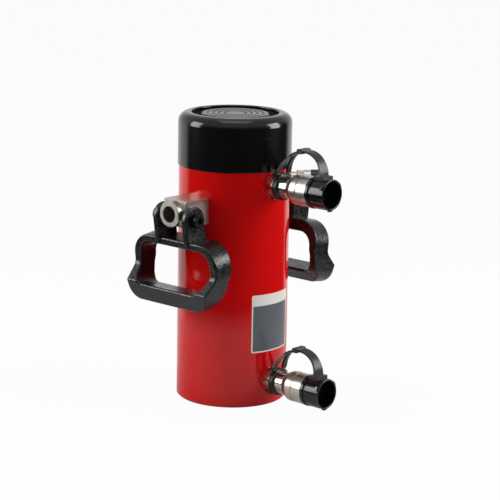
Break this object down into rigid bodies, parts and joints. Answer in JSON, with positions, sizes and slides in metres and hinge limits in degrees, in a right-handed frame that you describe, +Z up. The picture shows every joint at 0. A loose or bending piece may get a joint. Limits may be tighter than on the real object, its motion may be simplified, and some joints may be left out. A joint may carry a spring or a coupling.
{
  "type": "double-acting hydraulic cylinder",
  "caption": "Upright double-acting hydraulic cylinder with a short plunger, grooved saddle, two capped port couplers and two swinging carrying handles.",
  "frame": {"origin": "centre of the base face, on the surface the cylinder stands on", "axes": "+Z up along the plunger; both port couplers point along -Y; the carrying handles hang at +X and -X; the relief valve points between +X and -Y"},
  "size_m": [0.224, 0.2085, 0.33],
  "materials": {
    "body_paint": "gloss red enamel",
    "machined_steel": "turned",
    "chrome_plate": "polished",
    "plated_steel": "satin nickel plate",
    "black_moulding": "gloss moulded",
    "black_cast": "satin black coat over sand-cast skin",
    "black_saddle": "satin black",
    "black_screw": "black oxide",
    "bronze": "turned",
    "seal_rubber": "moulded",
    "seal_plastic": "moulded",
    "guide_plastic": "moulded",
    "spring_steel": "drawn wire"
  },
  "bodies": {
    "barrel": {"barrel": "body_paint", "gland_nut": "machined_steel", "gland_bearing": "bronze", "rod_seal": "seal_plastic", "wiper_ring": "seal_rubber", "gland_o_ring": "seal_rubber", "thread_protector": "black_moulding", "relief_valve": "plated_steel", "relief_valve_cap": "black_moulding", "right_handle_block": "plated_steel", "left_handle_block": "plated_steel", "block_screws": "black_screw", "handle_pivot_screws": "black_screw", "upper_coupler_body": "plated_steel", "upper_sleeve_retainer": "spring_steel", "upper_poppet_spring": "spring_steel", "upper_tether_ring": "black_moulding", "lower_coupler_body": "plated_steel", "lower_sleeve_retainer": "spring_steel", "lower_poppet_spring": "spring_steel", "lower_tether_ring": "black_moulding"},
    "plunger": {"plunger": "chrome_plate", "piston": "machined_steel", "piston_wear_rings": "guide_plastic", "piston_seal": "seal_plastic", "piston_nut": "machined_steel", "spigot_o_ring": "seal_rubber", "saddle": "black_saddle", "saddle_retaining_ring": "seal_rubber"},
    "right_handle": {"right_handle": "black_cast"},
    "left_handle": {"left_handle": "black_cast"},
    "upper_sleeve": {"upper_coupler_sleeve": "plated_steel"},
    "upper_cap": {"upper_dust_cap": "black_moulding", "upper_tether_strap": "black_moulding"},
    "upper_poppet": {"upper_poppet": "machined_steel"},
    "lower_sleeve": {"lower_coupler_sleeve": "plated_steel"},
    "lower_cap": {"lower_dust_cap": "black_moulding", "lower_tether_strap": "black_moulding"},
    "lower_poppet": {"lower_poppet": "machined_steel"}
  },
  "joints": [
    {"name": "plunger_slide", "type": "slide", "parent": "barrel", "child": "plunger", "axis": [0, 0, 1], "range_m": [0, 0.156]},
    {"name": "right_handle_swing", "type": "hinge", "parent": "barrel", "child": "right_handle", "pos_m": [0.0915, 0, 0.221], "axis": [0, -1, 0], "range_deg": [-12, 110]},
    {"name": "left_handle_swing", "type": "hinge", "parent": "barrel", "child": "left_handle", "pos_m": [-0.0915, 0, 0.221], "axis": [0, 1, 0], "range_deg": [-12, 110]},
    {"name": "upper_sleeve_turn", "type": "hinge", "parent": "barrel", "child": "upper_sleeve", "pos_m": [0, -0.1, 0.254], "axis": [0, -1, 0], "range_deg": [0, 2160]},
    {"name": "upper_cap_slide", "type": "slide", "parent": "barrel", "child": "upper_cap", "axis": [0, -1, 0], "range_m": [0, 0.018]},
    {"name": "upper_poppet_press", "type": "slide", "parent": "barrel", "child": "upper_poppet", "axis": [0, 1, 0], "range_m": [0, 0.003], "stiffness_N_per_m": 600, "springref_m": -0.002, "deforming": ["upper_poppet_spring"]},
    {"name": "lower_sleeve_turn", "type": "hinge", "parent": "barrel", "child": "lower_sleeve", "pos_m": [0, -0.1, 0.028], "axis": [0, -1, 0], "range_deg": [0, 2160]},
    {"name": "lower_cap_slide", "type": "slide", "parent": "barrel", "child": "lower_cap", "axis": [0, -1, 0], "range_m": [0, 0.018]},
    {"name": "lower_poppet_press", "type": "slide", "parent": "barrel", "child": "lower_poppet", "axis": [0, 1, 0], "range_m": [0, 0.003], "stiffness_N_per_m": 600, "springref_m": -0.002, "deforming": ["lower_poppet_spring"]}
  ],
  "couplings": [
    {"joint": "upper_cap_slide", "follows": "upper_sleeve_turn", "m_per_rad": 0.00047746},
    {"joint": "lower_cap_slide", "follows": "lower_sleeve_turn", "m_per_rad": 0.00047746}
  ]
}
